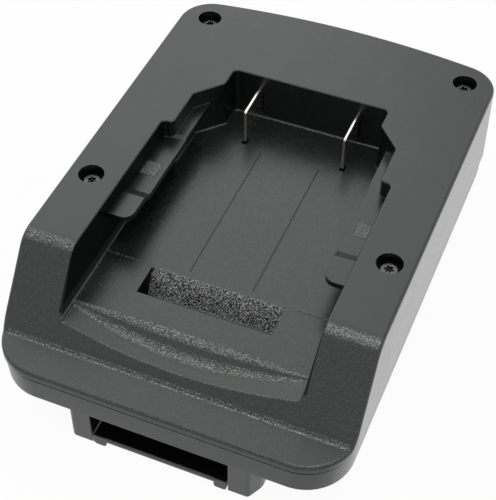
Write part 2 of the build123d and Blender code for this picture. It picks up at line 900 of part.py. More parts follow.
def foot_block():
    """Foot with its two side grooves, the latch channel and the contact chamber."""
    body = plan_prism(foot_outline(), 0, foot_height)
    bottom = body.faces().sort_by(Axis.Z)[0]
    body = fillet(bottom.edges(), edge_round)
    groove_front = foot_front_y + groove_front_inset
    half = rail_width / 2
    groove_top = rail_height + groove_height
    for side in (-1, 1):
        near, far = sorted((side * (half - groove_depth), side * (half + overrun)))
        body -= block(near, far, groove_front, foot_rear_y + overrun, rail_height, groove_top)
    width = channel_half_width
    body -= block(-width, width, foot_front_y - overrun, channel_rear_y, -overrun, foot_height + overrun)
    core = chamber_half_width
    body -= block(-core, core, core_front_y, core_rear_y, foot_floor, foot_height + overrun)
    body -= block(-core, core, chamber_front_y, chamber_rear_y, foot_floor, foot_height + overrun)
    for side in (-1, 1):
        x = side * output_spacing / 2
        body -= block(x - tool_slot_width / 2, x + tool_slot_width / 2, contact_front_y,
                      foot_rear_y + overrun, -overrun, contact_z + contact_height)
    for x, y in foot_screw_places:
        tip = inner_floor_z - foot_screw_length - screw_tip_space
        body -= upright(x, y, small_screw_diameter + 2 * thread_clearance, tip, foot_height + overrun)
    for x, y in carrier_screw_places():
        tip = contact_z - carrier_screw_length - thread_clearance
        body -= upright(x, y, small_screw_diameter + 2 * thread_clearance, tip, foot_floor + overrun)
    return body


# Release latch

def release_latch():
    """Latch plate between the legs: finger bar in front, a ramped lug at each end."""
    half = latch_half_width
    rear = foot_front_y + latch_depth
    plate = block(-half, half, foot_front_y, rear, latch_lift, latch_top_z)
    plate = fillet(plate.edges().filter_by(Axis.X).group_by(Axis.Y)[0], bar_round)
    stop_z = lower_z - latch_travel - latch_stop_gap
    plate += block(-half, half, rear - bar_depth, rear, latch_lift, stop_z)
    lug_bottom = latch_lift - lug_drop
    for side in (-1, 1):
        near, far = sorted((side * (half - lug_width), side * half))
        points = [
            (foot_front_y, latch_top_z),
            (foot_front_y, lug_bottom),
            (foot_front_y + lug_depth - lug_ramp, lug_bottom),
            (foot_front_y + lug_depth + lug_ramp, latch_lift),
            (foot_front_y + lug_depth + lug_ramp, latch_top_z),
        ]
        lug = side_prism(points, near, far)
        upright_edges = [e for e in lug.edges().filter_by(Axis.Y) if e.center().Z < latch_lift]
        plate += fillet(upright_edges, lug_drop / 2)
    for x, y in guide_places:
        plate -= upright(x, y, guide_diameter + 2 * guide_clearance, 0, foot_height)
    return plate


def guide_screws():
    """Two shoulder screws that the latch slides on."""
    screws = []
    for x, y in guide_places:
        head_top = latch_lift - guide_head_gap
        length = lower_z + guide_thread_length - head_top
        body = driven_screw(x, y, head_top, guide_head_diameter, guide_head_height,
                            screw_diameter, length, True)
        screws.append(body + upright(x, y, guide_diameter, head_top, lower_z))
    return screws


def biarc(start, start_way, end, end_way):
    """Two tangent arcs from one point and direction to another."""
    across = end - start
    both = start_way + end_way
    turn = 2 * (1 - start_way.dot(end_way))
    reach = (-across.dot(both) + sqrt(across.dot(both) ** 2 + turn * across.dot(across))) / turn
    first = start + start_way * reach
    last = end - end_way * reach
    middle = (first + last) * 0.5
    return [TangentArc(start, middle, tangent=start_way), TangentArc(middle, end, tangent=last - first)]


def helix_point(x, y, z, turn, pitch):
    """Point of a spring's wire after a number of turns, and the way it runs there."""
    angle = 2 * pi * turn
    radius = (spring_diameter - spring_wire) / 2
    point = Vector(x + radius * cos(angle), y + radius * sin(angle), z + pitch * turn)
    way = Vector(-radius * sin(angle), radius * cos(angle), pitch / (2 * pi)).normalized()
    return point, way


def latch_spring(place):
    """Compression spring round a guide screw, from the latch up to the lower shell."""
    x, y = place
    start_z = latch_top_z + spring_end_gap + spring_wire / 2
    end_z = lower_z - spring_end_gap - spring_wire / 2
    pitch = (end_z - start_z) / spring_turns
    edges = []
    quarters = 4 * spring_turns
    for index in range(quarters):
        start, start_way = helix_point(x, y, start_z, index / 4, pitch)
        end, end_way = helix_point(x, y, start_z, (index + 1) / 4, pitch)
        edges += biarc(start, start_way, end, end_way)
    path = Wire(edges)
    point, way = helix_point(x, y, start_z, 0, pitch)
    section = Plane(origin=point, z_dir=way) * Circle(spring_wire / 2)
    return sweep(section, path=path)


def report_spring_gap():
    """Prints the least gap between a spring's turns, measured on points."""
    start_z = latch_top_z + spring_end_gap + spring_wire / 2
    end_z = lower_z - spring_end_gap - spring_wire / 2
    pitch = (end_z - start_z) / spring_turns
    steps = 24
    points = [helix_point(0, 0, start_z, index / steps, pitch)[0] for index in range(steps * spring_turns)]
    least = min((points[i] - points[j]).length
                for i in range(len(points)) for j in range(i + steps // 2, len(points)))
    print("least gap between spring turns, mm:", round(least - spring_wire, 2))


# Output contacts

def output_contact(side):
    """Forked contact: two sprung leaves that grip a tool's blade, and a tail for the lead."""
    x = side * output_spacing / 2
    throat_y = contact_front_y + contact_length * throat_share
    outer = contact_width / 2
    leaf = [
        (outer - contact_thickness, contact_front_y),
        (outer, contact_front_y),
        (contact_throat / 2 + contact_thickness, throat_y),
        (contact_mouth / 2 + contact_thickness, contact_rear_y),
        (contact_mouth / 2, contact_rear_y),
        (contact_throat / 2, throat_y),
    ]
    z_top = contact_z + contact_height
    piece = plan_prism(make_face(Polyline(*leaf, close=True)), contact_z, z_top)
    piece += mirror(piece, about=Plane.YZ)
    piece += block(-outer, outer, contact_front_y, contact_front_y + contact_thickness, contact_z, z_top)
    piece += block(-tail_width / 2, tail_width / 2, contact_front_y,
                   contact_front_y + contact_thickness, z_top, tail_top_z)
    return Pos(x, 0, 0) * piece


def contact_carrier():
    """Moulded tray in the foot that the two output contacts drop into."""
    half = chamber_half_width - carrier_clearance
    body = block(-half, half, carrier_front_y, carrier_rear_y, foot_floor, foot_floor + carrier_height)
    for side in (-1, 1):
        x = side * output_spacing / 2
        room = contact_width / 2 + carrier_clearance
        body -= block(x - room, x + room, contact_front_y - carrier_clearance, carrier_rear_y + overrun,
                      contact_z, top_z)
        body -= block(x - tool_slot_width / 2, x + tool_slot_width / 2, contact_front_y,
                      carrier_rear_y + overrun, 0, contact_z + overrun)
    for x, y in carrier_screw_places():
        body -= upright(x, y, small_head_diameter + 2 * screw_clearance, contact_z, top_z)
        body -= upright(x, y, small_screw_diameter + 2 * screw_clearance, 0, top_z)
    return body


# Leads

def lead_drop_y():
    """Place along Y where the leads turn down to the output contacts."""
    return contact_front_y + contact_thickness / 2


def lead_points(side):
    """Corners of a lead's route: behind the blade, down, forward and down to the contact."""
    blade_x = side * blade_spacing / 2
    out_x = side * output_spacing / 2
    tab_z = (tab_top_z + tab_bottom_z) / 2
    rear = tab_end_y + lead_rear_run
    low_z = inner_floor_z + lead_floor_gap + lead_diameter / 2
    return [
        Vector(blade_x, tab_end_y, tab_z),
        Vector(blade_x, rear, tab_z),
        Vector(blade_x, rear, low_z),
        Vector(out_x, lead_drop_y(), low_z),
        Vector(out_x, lead_drop_y(), tail_top_z),
    ]


def rounded_route(points):
    """Straight runs joined by tangent arcs, each as large as its two runs allow."""
    edges = []
    here = points[0]
    for before, corner, after in zip(points, points[1:], points[2:]):
        way_in = (corner - before).normalized()
        way_out = (after - corner).normalized()
        shorter = min((corner - before).length, (after - corner).length)
        set_back = lead_bend_share * shorter
        start = corner - way_in * set_back
        end = corner + way_out * set_back
        edges.append(Line(here, start))
        edges.append(TangentArc(start, end, tangent=way_in))
        here = end
    edges.append(Line(here, points[-1]))
    return Wire(edges)


def lead(side):
    """Insulated lead from a blade's tab to its output contact."""
    points = lead_points(side)
    section = Plane(origin=points[0], z_dir=points[1] - points[0]) * Circle(lead_diameter / 2)
    return sweep(section, path=rounded_route(points))


def sleeve(start, end):
    """Shrink sleeve round a lead's end."""
    way = (end - start).normalized()
    bore = lead_diameter / 2 + sleeve_gap
    ring = Circle(bore + sleeve_thickness) - Circle(bore)
    return extrude(Plane(origin=start, z_dir=way) * ring, amount=sleeve_length)


def lead_sleeves():
    """Sleeves on both ends of both leads."""
    sleeves = []
    for side in (-1, 1):
        points = lead_points(side)
        sleeves.append(sleeve(points[0], points[1]))
        sleeves.append(sleeve(points[-1], points[-2]))
    return sleeves


os.makedirs("parts", exist_ok=True)
save("upper_shell", upper_shell())
save("lower_shell", lower_shell())
save("housing_screws", housing_screws())
save("left_input_blade", blade(-1))
save("right_input_blade", blade(1))
save("blade_holder", blade_holder())
save("blade_holder_screws", holder_screws())
save("tool_foot", foot_block())
save("foot_screws", foot_screws())
save("release_latch", release_latch())
save("latch_guide_screws", guide_screws())
save("left_latch_spring", latch_spring(guide_places[0]))
save("right_latch_spring", latch_spring(guide_places[1]))
save("left_output_contact", output_contact(-1))
save("right_output_contact", output_contact(1))
save("contact_carrier", contact_carrier())
save("carrier_screws", carrier_screws())
save("left_lead", lead(-1))
save("right_lead", lead(1))
save("lead_sleeves", lead_sleeves())
report_spring_gap()
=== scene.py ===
"""Looks of a slide battery adapter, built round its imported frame."""
import logging
import math
from dataclasses import dataclass
from enum import Enum

import bpy
from mathutils import Matrix, Vector


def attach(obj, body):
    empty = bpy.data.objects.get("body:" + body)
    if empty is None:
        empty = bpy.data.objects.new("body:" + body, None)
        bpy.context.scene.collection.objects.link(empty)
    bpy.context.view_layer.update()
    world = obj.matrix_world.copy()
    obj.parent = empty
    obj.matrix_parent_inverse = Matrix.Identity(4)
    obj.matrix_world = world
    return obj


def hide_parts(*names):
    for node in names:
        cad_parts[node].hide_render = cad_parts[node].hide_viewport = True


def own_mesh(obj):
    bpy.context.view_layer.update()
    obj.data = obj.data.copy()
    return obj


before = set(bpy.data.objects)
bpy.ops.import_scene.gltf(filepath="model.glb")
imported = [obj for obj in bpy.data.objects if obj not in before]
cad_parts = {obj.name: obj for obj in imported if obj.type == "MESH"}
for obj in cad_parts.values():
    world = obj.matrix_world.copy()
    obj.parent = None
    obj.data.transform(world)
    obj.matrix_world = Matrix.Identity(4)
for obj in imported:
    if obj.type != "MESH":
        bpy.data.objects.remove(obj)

MM = 0.001
BEVEL_SAMPLES = 6
NOISE_MEAN = 0.5
Colour = tuple[float, float, float]
Ramp = tuple[float, float]      # where a smooth rise from 0 to 1 starts and where it ends
log = logging.getLogger("adapter")

# How far a surface faces up, from 0 to 1
SLOPED: Ramp = (0.06, 0.35)
LEVEL: Ramp = (0.962, 0.998)
ROLLED: Ramp = (0.79, 0.90)
FLOOR_LEVEL: Ramp = (0.90, 0.97)

# How far it faces forward or sideways
FORWARD: Ramp = (0.10, 0.26)
SIDEWAYS: Ramp = (0.12, 0.40)
OUTWARD: Ramp = (0.6, 0.95)

# How far the softened direction leans from the true one
LEANING: Ramp = (0.01, 0.16)

# Places on the housing, in metres
POCKET_SIDE: Ramp = (30.6 * MM, 31.4 * MM)
LIP_FOOT: Ramp = (29 * MM, 30 * MM)
FRONT_RIM: Ramp = (-61.5 * MM, -60 * MM)
FLOOR_SIDE: Ramp = (33 * MM, 34 * MM)
FLOOR_TOP: Ramp = (28 * MM, 30 * MM)
OUTER_WALL: Ramp = (40 * MM, 42 * MM)

# Levels of a noise above which it shows
CLOUDY: Ramp = (0.3, 0.7)
WORN: Ramp = (0.42, 0.62)
SCUFFED: Ramp = (0.36, 0.46)
DUSTY: Ramp = (0.70, 0.78)
DUST_DRIFTS: Ramp = (0.5, 0.75)
PAINTED_GLINTING: Ramp = (0.44, 0.72)
PAINTED_GRAIN_GLINTING: Ramp = (0.42, 0.72)
ERODED_PAINTED_GLINTING: Ramp = (0.42, 0.68)
PORED: Ramp = (0.62, 0.74)
STAINED: Ramp = (0.52, 0.72)
BLOOMING: Ramp = (0.62, 0.75)
BLOOM_DRIFTS: Ramp = (0.45, 0.7)

# Finishes that several pieces share
ZINC: Colour = (0.60, 0.61, 0.63)
BRIGHT_ZINC: Colour = (0.82, 0.82, 0.84)
GREY_NYLON: Colour = (0.17, 0.17, 0.165)
GREY_RUBBED: Colour = (0.28, 0.28, 0.27)


class Grain(Enum):
    """How far a pattern's coordinates are squeezed along each axis, for lines that run one way."""

    ALONG_Y = (1.0, 0.02, 1.0)
    ALONG_Z = (1.0, 1.0, 0.02)
    SCUFFED_ALONG_Y = (1.0, 0.09, 1.0)
    FLOWED_ALONG_Y = (1.0, 0.25, 1.0)
    NONE = (1.0, 1.0, 1.0)


class Signal:
    """A number that varies over a surface, held in a socket and worked on with Python's operators."""

    def __init__(self, tree: bpy.types.NodeTree, socket: bpy.types.NodeSocket) -> None:
        """Wraps a socket of a tree.

        Args:
            tree: Node tree that the socket belongs to.
            socket: Output socket that gives the number.
        """
        self.tree = tree
        self.socket = socket

    def _math(self, operation: str, *operands: "Signal | float") -> "Signal":
        """Adds one Math node.

        Args:
            operation: Name of the Math node's operation.
            operands: Signals or plain numbers, in the node's order.

        Returns:
            The node's result.
        """
        node = self.tree.nodes.new("ShaderNodeMath")
        node.operation = operation
        for socket, operand in zip(node.inputs, operands):
            if isinstance(operand, Signal):
                self.tree.links.new(operand.socket, socket)
            else:
                socket.default_value = operand
        return Signal(self.tree, node.outputs[0])

    def __add__(self, other: "Signal | float") -> "Signal":
        """Sum."""
        return self._math("ADD", self, other)

    def __radd__(self, other: float) -> "Signal":
        """Sum with a number in front."""
        return self._math("ADD", other, self)

    def __sub__(self, other: "Signal | float") -> "Signal":
        """Difference."""
        return self._math("SUBTRACT", self, other)

    def __rsub__(self, other: float) -> "Signal":
        """Difference from a number in front."""
        return self._math("SUBTRACT", other, self)

    def __mul__(self, other: "Signal | float") -> "Signal":
        """Product."""
        return self._math("MULTIPLY", self, other)

    def __rmul__(self, other: float) -> "Signal":
        """Product with a number in front."""
        return self._math("MULTIPLY", other, self)

    def __abs__(self) -> "Signal":
        """Size without the sign."""
        return self._math("ABSOLUTE", self)

    def most(self, other: "Signal | float") -> "Signal":
        """The larger of two."""
        return self._math("MAXIMUM", self, other)


class Surface:
    """A material while its nodes are being laid out."""

    def __init__(self, name: str) -> None:
        """Starts a material with a Principled shader.

        Args:
            name: Name of the material.
        """
        self.material = bpy.data.materials.new(name)
        self.material.use_nodes = True
        self.tree = self.material.node_tree
        self.shader = next(n for n in self.tree.nodes if n.type == "BSDF_PRINCIPLED")
        self.place = self.node("ShaderNodeTexCoord").outputs["Object"]

    def node(self, kind: str, settings: dict | None = None, sockets: dict | None = None) -> bpy.types.Node:
        """Adds any node that isn't plain arithmetic.

        Args:
            kind: Blender's name for the node's type.
            settings: The node's own properties, set before its sockets.
            sockets: Values, signals or sockets for its inputs, by name or place.

        Returns:
            The new node.
        """
        node = self.tree.nodes.new(kind)
        for name, value in (settings or {}).items():
            setattr(node, name, value)
        for key, value in (sockets or {}).items():
            self.feed(node.inputs[key], value)
        return node

    def feed(self, socket: bpy.types.NodeSocket, value: object) -> None:
        """Sets or links one input socket.

        Args:
            socket: Input to feed.
            value: A signal, an output socket, or a plain value.
        """
        if isinstance(value, Signal):
            self.tree.links.new(value.socket, socket)
        elif isinstance(value, bpy.types.NodeSocket):
            self.tree.links.new(value, socket)
        else:
            socket.default_value = value

    def signal(self, socket: bpy.types.NodeSocket) -> Signal:
        """Wraps an output socket."""
        return Signal(self.tree, socket)

    def stretched(self, stretch: tuple[float, float, float]) -> bpy.types.NodeSocket:
        """Object coordinates scaled unevenly, for lines that run one way."""
        settings = {"operation": "MULTIPLY"}
        return self.node("ShaderNodeVectorMath", settings, {0: self.place, 1: stretch}).outputs[0]

    def noise(self, size: float, detail: float = 2.0, roughness: float = 0.5,
              stretch: tuple[float, float, float] = Grain.NONE.value) -> Signal:
        """Cloudy noise.

        Args:
            size: Size of its largest lumps, in metres.
            detail: Number of finer layers.
            roughness: Share of each finer layer.
            stretch: How far the coordinates are squeezed along each axis.

        Returns:
            A number that stays about 0.5.
        """
        sockets = {"Vector": self.stretched(stretch), "Scale": 1 / size,
                   "Detail": detail, "Roughness": roughness}
        return self.signal(self.node("ShaderNodeTexNoise", {}, sockets).outputs["Fac"])

    def cells(self, size: float) -> Signal:
        """Distance to the nearest of scattered points, as a share of their spacing."""
        sockets = {"Vector": self.place, "Scale": 1 / size}
        return self.signal(self.node("ShaderNodeTexVoronoi", {}, sockets).outputs["Distance"])

    def step(self, value: Signal, low: float, high: float) -> Signal:
        """Smooth rise from 0 to 1 as a signal goes from low to high."""
        settings = {"interpolation_type": "SMOOTHSTEP"}
        sockets = {"Value": value, "From Min": low, "From Max": high}
        return self.signal(self.node("ShaderNodeMapRange", settings, sockets).outputs[0])

    def parts(self, vector: bpy.types.NodeSocket) -> tuple[Signal, Signal, Signal]:
        """A vector's three parts: a place in metres, or a direction."""
        outputs = self.node("ShaderNodeSeparateXYZ", {}, {0: vector}).outputs
        return self.signal(outputs[0]), self.signal(outputs[1]), self.signal(outputs[2])

    def softened(self, radius: float) -> bpy.types.NodeSocket:
        """Shading direction that rounds sharp edges by a radius."""
        return self.node("ShaderNodeBevel", {"samples": BEVEL_SAMPLES}, {"Radius": radius}).outputs[0]

    def edges(self, radius: float) -> Signal:
        """Rises from 0 to 1 within a radius of an edge."""
        true = self.node("ShaderNodeNewGeometry").outputs["True Normal"]
        settings = {"operation": "DOT_PRODUCT"}
        compared = self.node("ShaderNodeVectorMath", settings, {0: self.softened(radius), 1: true})
        return self.step(1 - self.signal(compared.outputs["Value"]), *LEANING)

    def blend(self, share: Signal, low: Colour | bpy.types.NodeSocket,
              high: Colour) -> bpy.types.NodeSocket:
        """Colour that goes from low to high as a share rises."""
        first = (*low, 1) if isinstance(low, tuple) else low
        sockets = {"Factor": share, 6: first, 7: (*high, 1)}
        return self.node("ShaderNodeMix", {"data_type": "RGBA"}, sockets).outputs[2]

    def relief(self, height: Signal, depth: float,
               normal: bpy.types.NodeSocket | None = None) -> bpy.types.NodeSocket:
        """Fine relief, for the shader's Normal.

        Args:
            height: Height from 0 to 1.
            depth: Metres between 0 and 1.
            normal: Direction that the relief stands on.

        Returns:
            The bent direction.
        """
        sockets = {"Height": height, "Distance": depth}
        if normal is not None:
            sockets["Normal"] = normal
        return self.node("ShaderNodeBump", {}, sockets).outputs[0]

    def cover(self, share: Signal, shader: bpy.types.Node) -> None:
        """Lays another shader over the whole surface by a share from 0 to 1."""
        output = next(n for n in self.tree.nodes if n.type == "OUTPUT_MATERIAL")
        sockets = {0: share, 1: self.shader.outputs[0], 2: shader.outputs[0]}
        mixed = self.node("ShaderNodeMixShader", {}, sockets)
        self.feed(output.inputs["Surface"], mixed.outputs[0])

    def finish(self, **sockets: object) -> None:
        """Feeds the shader's sockets, with underscores for spaces in their names."""
        for name, value in sockets.items():
            self.feed(self.shader.inputs[name.replace("_", " ")], value)


@dataclass(frozen=True)
class Patch:
    """A box on the part, in millimetres, with its own coarse grain and painted glints, or its own painted
    shade.
    """

    x: tuple[float, float]
    y: tuple[float, float]
    z: tuple[float, float]
    strength: float = 1.0
    blur: float = 0.1

    def share(self, s: Surface) -> Signal:
        """1 inside the box and 0 outside it."""
        inside = None
        for place, (start, end) in zip(s.parts(s.place), (self.x, self.y, self.z)):
            low, high, blur = start * MM, end * MM, self.blur * MM
            within = s.step(place, low - blur, low) * (1 - s.step(place, high, high + blur))
            inside = within if inside is None else inside * within
        return inside


@dataclass(frozen=True)
class Moulded:
    """Moulded plastic with a fine grain, coarser on slopes, with glints painted into its colour where it
    rolls forward.

    Eroded patches carry a coarse grain with bright glints painted into their colour. Painted-shade patches
    are covered by a flat dark shader that stands in for shade.
    """

    name: str
    colour: Colour = (0.0030, 0.0037, 0.0038)
    rubbed: Colour = (0.016, 0.018, 0.017)
    tint: Colour = (0.90, 1.0, 0.94)
    # Colour of the flat diffuse shader that paints shade over the painted-shade patches
    painted_shade: Colour = (0.003, 0.003, 0.003)
    roughness: float = 0.28
    ior: float = 1.56
    # Colour of painted glints: bright specks that stand in for lamp highlights on the grain
    painted_glint: Colour = (0.33, 0.34, 0.33)
    painted_glint_share: float = 0.70
    # Shares of glints painted on the grain of slopes and of the pocket's floor
    slope_painted_glint_share: float = 0.09
    floor_painted_glint_share: float = 0.06
    grain: float = 0.34 * MM
    depth: float = 0.022 * MM
    coarse_depth: float = 0.045 * MM
    edge_radius: float = 0.22 * MM
    eroded_painted_glint_patches: tuple[Patch, ...] = ()
    # Colour of the bright specks painted as glints on eroded patches
    painted_eroded_glint: Colour = (0.56, 0.57, 0.56)
    eroded_depth: float = 0.10 * MM
    polished: float = 0.0
    polish_roughness: float = 0.3
    painted_shade_patches: tuple[Patch, ...] = ()
    cloud_gain: float = 1.25
    cloud_size: float = 14 * MM
    flow_size: float = 5 * MM
    bend_reach: float = 3.2
    wear_reach: float = 2.2
    wear_size: float = 2.4 * MM
    wear_share: float = 0.5
    scuff_size: float = 0.5 * MM
    scuff_spread: float = 9 * MM
    scuff_share: float = 0.10
    dust_size: float = 0.35 * MM
    dust_share: float = 0.25
    mottle_size: float = 1.2 * MM

    def rolling(self, s: Surface, facing: tuple[Signal, ...], place: tuple[Signal, ...]) -> Signal:
        """Share of painted glints on what rolls forward, apart from the pocket's lips and the front rim.

        Args:
            s: Surface that is being laid out.
            facing: The surface's direction.
            place: The point's place.

        Returns:
            The share, from 0 to painted_glint_share.
        """
        across, along, rise = facing
        x, y, z = place
        rolled = s.step(-1 * along, *FORWARD) * s.step(rise, *ROLLED) * (1 - s.step(abs(across), *SIDEWAYS))
        outside = s.step(abs(x), *POCKET_SIDE).most(1 - s.step(z, *LIP_FOOT))
        return rolled * outside * s.step(y, *FRONT_RIM) * self.painted_glint_share

    def make(self) -> bpy.types.Material:
        """Lays out the material."""
        s = Surface(self.name)
        facing = s.parts(s.softened(self.edge_radius * self.bend_reach))
        place = s.parts(s.place)
        across, _, rise = facing
        x, _, z = place
        slope = s.step(abs(rise), *SLOPED) * (1 - s.step(abs(rise), *LEVEL))
        floor = s.step(rise, *FLOOR_LEVEL) * (1 - s.step(abs(x), *FLOOR_SIDE)) * (1 - s.step(z, *FLOOR_TOP))
        pits = s.cells(self.grain * 1.2) * 0.6 + s.noise(self.grain * 0.6, 2.0) * 0.7
        tips = s.noise(self.grain, 1.0, 0.6)
        fine = s.noise(self.grain * 0.55, 1.0, 0.4)
        clouds = s.noise(self.cloud_size, 3.0, 0.55)
        flow = s.noise(self.flow_size, 2.0, 0.5, Grain.FLOWED_ALONG_Y.value)
        wear = s.edges(self.edge_radius * self.wear_reach) * s.step(s.noise(self.wear_size, 3.0), *WORN)
        scratches = s.noise(self.scuff_size, 2.0, 0.5, Grain.SCUFFED_ALONG_Y.value)
        scuffs = s.step(scratches * s.noise(self.scuff_spread, 2.0), *SCUFFED)
        dust = s.step(s.noise(self.dust_size, 1.0), *DUSTY) * s.step(clouds, *DUST_DRIFTS)
        pale = tuple(c * self.cloud_gain for c in self.colour)
        colour = s.blend(s.step(clouds, *CLOUDY), self.colour, pale)
        rubbing = wear * self.wear_share + scuffs * self.scuff_share + dust * self.dust_share
        colour = s.blend(rubbing, colour, self.rubbed)
        # Painted glints: bright specks in the base colour on faces that roll forward, in place of lamp
        # highlights
        colour = s.blend(s.step(tips, *PAINTED_GLINTING) * self.rolling(s, facing, place), colour, self.painted_glint)
        # Bright specks on the grain of slopes and the pocket's floor: real grain, with its glints painted
        # into the colour
        painted_grain_glints = slope * self.slope_painted_glint_share + floor * self.floor_painted_glint_share
        colour = s.blend(s.step(tips, *PAINTED_GRAIN_GLINTING) * painted_grain_glints, colour, self.painted_glint)
        uneven = (flow - NOISE_MEAN) * 0.07 + (clouds - NOISE_MEAN) * 0.06 - wear * 0.06 - scuffs * 0.03
        relief = s.relief(pits * slope, self.coarse_depth, s.softened(self.edge_radius))
        relief = s.relief(fine * (1 - slope * 0.6) + pits * 0.35, self.depth, relief)
        # Eroded patches: coarse relief, with bright specks painted into the colour as glints
        for patch in self.eroded_painted_glint_patches:
            share = patch.share(s)
            colour = s.blend(s.step(tips, *ERODED_PAINTED_GLINTING) * share * patch.strength, colour, self.painted_eroded_glint)
            relief = s.relief(tips * share, self.eroded_depth, relief)
        s.finish(Base_Color=colour, Roughness=uneven + self.roughness, Normal=relief, IOR=self.ior,
                 Specular_Tint=(*self.tint, 1))
        if self.polished:
            mottle = 0.8 + s.noise(self.mottle_size, 3.0, 0.6) * 0.4
            sheen = s.step(abs(across), *OUTWARD) * s.step(abs(x), *OUTER_WALL) * mottle * self.polished
            s.finish(Coat_Weight=sheen, Coat_Roughness=self.polish_roughness)
        # Painted shade: a flat dark diffuse shader laid over patches where shade falls
        if self.painted_shade_patches:
            painted_shade = s.node("ShaderNodeBsdfDiffuse", {}, {"Color": (*self.painted_shade, 1)})
            s.cover(sum(patch.share(s) * patch.strength for patch in self.painted_shade_patches), painted_shade)
        return s.material


@dataclass(frozen=True)
class Plated:
    """Plated or bare metal with fine lines one way, bright rubbed edges and faint stains."""

    name: str
    colour: Colour
    edge_colour: Colour
    roughness: float = 0.28
    lines: Grain = Grain.NONE
    line_size: float = 0.12 * MM
    line_depth: float = 0.004 * MM
    edge_radius: float = 0.08 * MM
    stain: Colour = (0.30, 0.24, 0.17)
    stain_share: float = 0.25
    streak_gain: float = 0.86
    haze_size: float = 1.6 * MM
    pore_size: float = 0.22 * MM
    wear_reach: float = 1.8

    def make(self) -> bpy.types.Material:
        """Lays out the material."""
        s = Surface(self.name)
        streaks = s.noise(self.line_size, 3.0, 0.6, self.lines.value)
        haze = s.noise(self.haze_size, 3.0, 0.6)
        pores = s.step(s.noise(self.pore_size, 1.0), *PORED)
        wear = s.edges(self.edge_radius * self.wear_reach)
        dim = tuple(c * self.streak_gain for c in self.colour)
        colour = s.blend(s.step(streaks, *CLOUDY), dim, self.colour)
        colour = s.blend(s.step(haze, *STAINED) * self.stain_share, colour, self.stain)
        colour = s.blend(wear, colour, self.edge_colour)
        uneven = (streaks - NOISE_MEAN) * 0.16 + (haze - NOISE_MEAN) * 0.14 + pores * 0.05 - wear * 0.05
        relief = s.relief(streaks + haze * 0.3 - pores * 0.3, self.line_depth, s.softened(self.edge_radius))
        s.finish(Base_Color=colour, Metallic=1.0, Roughness=uneven + self.roughness, Normal=relief)
        return s.material


@dataclass(frozen=True)
class Flexible:
    """Extruded insulation: satin, with faint draw lines, dimples and a bloom of fine dust."""

    name: str
    colour: Colour
    bloom: Colour
    roughness: float = 0.42
    draw: Grain = Grain.ALONG_Y
    depth: float = 0.012 * MM
    draw_size: float = 0.18 * MM
    dimple_size: float = 0.9 * MM
    cloud_size: float = 4 * MM
    cloud_gain: float = 0.8
    dust_size: float = 0.14 * MM
    dust_share: float = 0.35

    def make(self) -> bpy.types.Material:
        """Lays out the material."""
        s = Surface(self.name)
        draw = s.noise(self.draw_size, 2.0, 0.5, self.draw.value)
        dimples = s.noise(self.dimple_size, 2.0)
        clouds = s.noise(self.cloud_size, 3.0, 0.6)
        dust = s.step(s.noise(self.dust_size, 1.0), *BLOOMING) * s.step(clouds, *BLOOM_DRIFTS)
        dim = tuple(c * self.cloud_gain for c in self.colour)
        colour = s.blend(s.step(clouds, *CLOUDY), dim, self.colour)
        colour = s.blend(dust * self.dust_share, colour, self.bloom)
        uneven = (dimples - NOISE_MEAN) * 0.12 + dust * 0.1
        relief = s.relief(draw * 0.4 + dimples * 0.6, self.depth)
        s.finish(Base_Color=colour, Roughness=uneven + self.roughness, Normal=relief)
        return s.material


def paint(piece: bpy.types.Object, material: bpy.types.Material) -> None:
    """Gives a piece one finish all over."""
    for mesh_slot in piece.material_slots:
        mesh_slot.link = "OBJECT"
        mesh_slot.material = material
    log.info("dressed %s in %s", piece.name, material.name)


def dress(node: str, material: bpy.types.Material) -> None:
    """Gives a CAD node its finish.

    Args:
        node: Name of the node.
        material: Finish for all of it.
    """
    paint(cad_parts[node], material)


@dataclass
class Housing:
    """The two moulded shells and the screws that draw them together."""

    # Eroded patches with glints painted into their colour: the catch recess's slope, the crease below the
    # trough and two pads on the lips
    recess: Patch = Patch((-17.3, 17.3), (-31.3, -27.8), (20.8, 27.0))
    crease: Patch = Patch((-43.0, 43.0), (-55.7, -54.9), (20.9, 21.7), 0.26, 0.4)
    left_pad: Patch = Patch((-31.0, -26.4), (-6.7, -1.8), (35.6, 35.9), 0.36)
    right_pad: Patch = Patch((26.4, 31.0), (-6.7, -1.8), (35.6, 35.9), 0.22)
    # Painted shade: the catch recess's left end wall and the pocket's side walls
    recess_side: Patch = Patch((-17.5, -17.3), (-36.5, -27.8), (20.5, 27.1), 0.85, 0.02)
    left_wall: Patch = Patch((-31.05, -30.45), (-62, 20), (28, 40.6), 0.7, 0.05)
    right_wall: Patch = Patch((30.45, 31.05), (-62, 20), (28, 40.6), 0.7, 0.05)
    # Painted shade along the parting line between the shells
    parting: Patch = Patch((-60, 60), (-70, 70), (18.2, 18.62))
    shell: Moulded = Moulded("black_abs_shell", polished=0.72, eroded_painted_glint_patches=(recess, crease, left_pad, right_pad),
                             painted_shade_patches=(recess_side, left_wall, right_wall))
    tray: Moulded = Moulded("black_abs_tray", tint=(0.74, 0.84, 0.79), polished=0.35, painted_shade_patches=(parting,))
    screw: Plated = Plated("black_zinc_screws", (0.085, 0.085, 0.088), (0.60, 0.60, 0.61), 0.25,
                           stain=(0.07, 0.06, 0.05))

    def build(self) -> None:
        """Dresses the shells and their screws."""
        dress("upper_shell", self.shell.make())
        dress("lower_shell", self.tray.make())
        dress("housing_screws", self.screw.make())


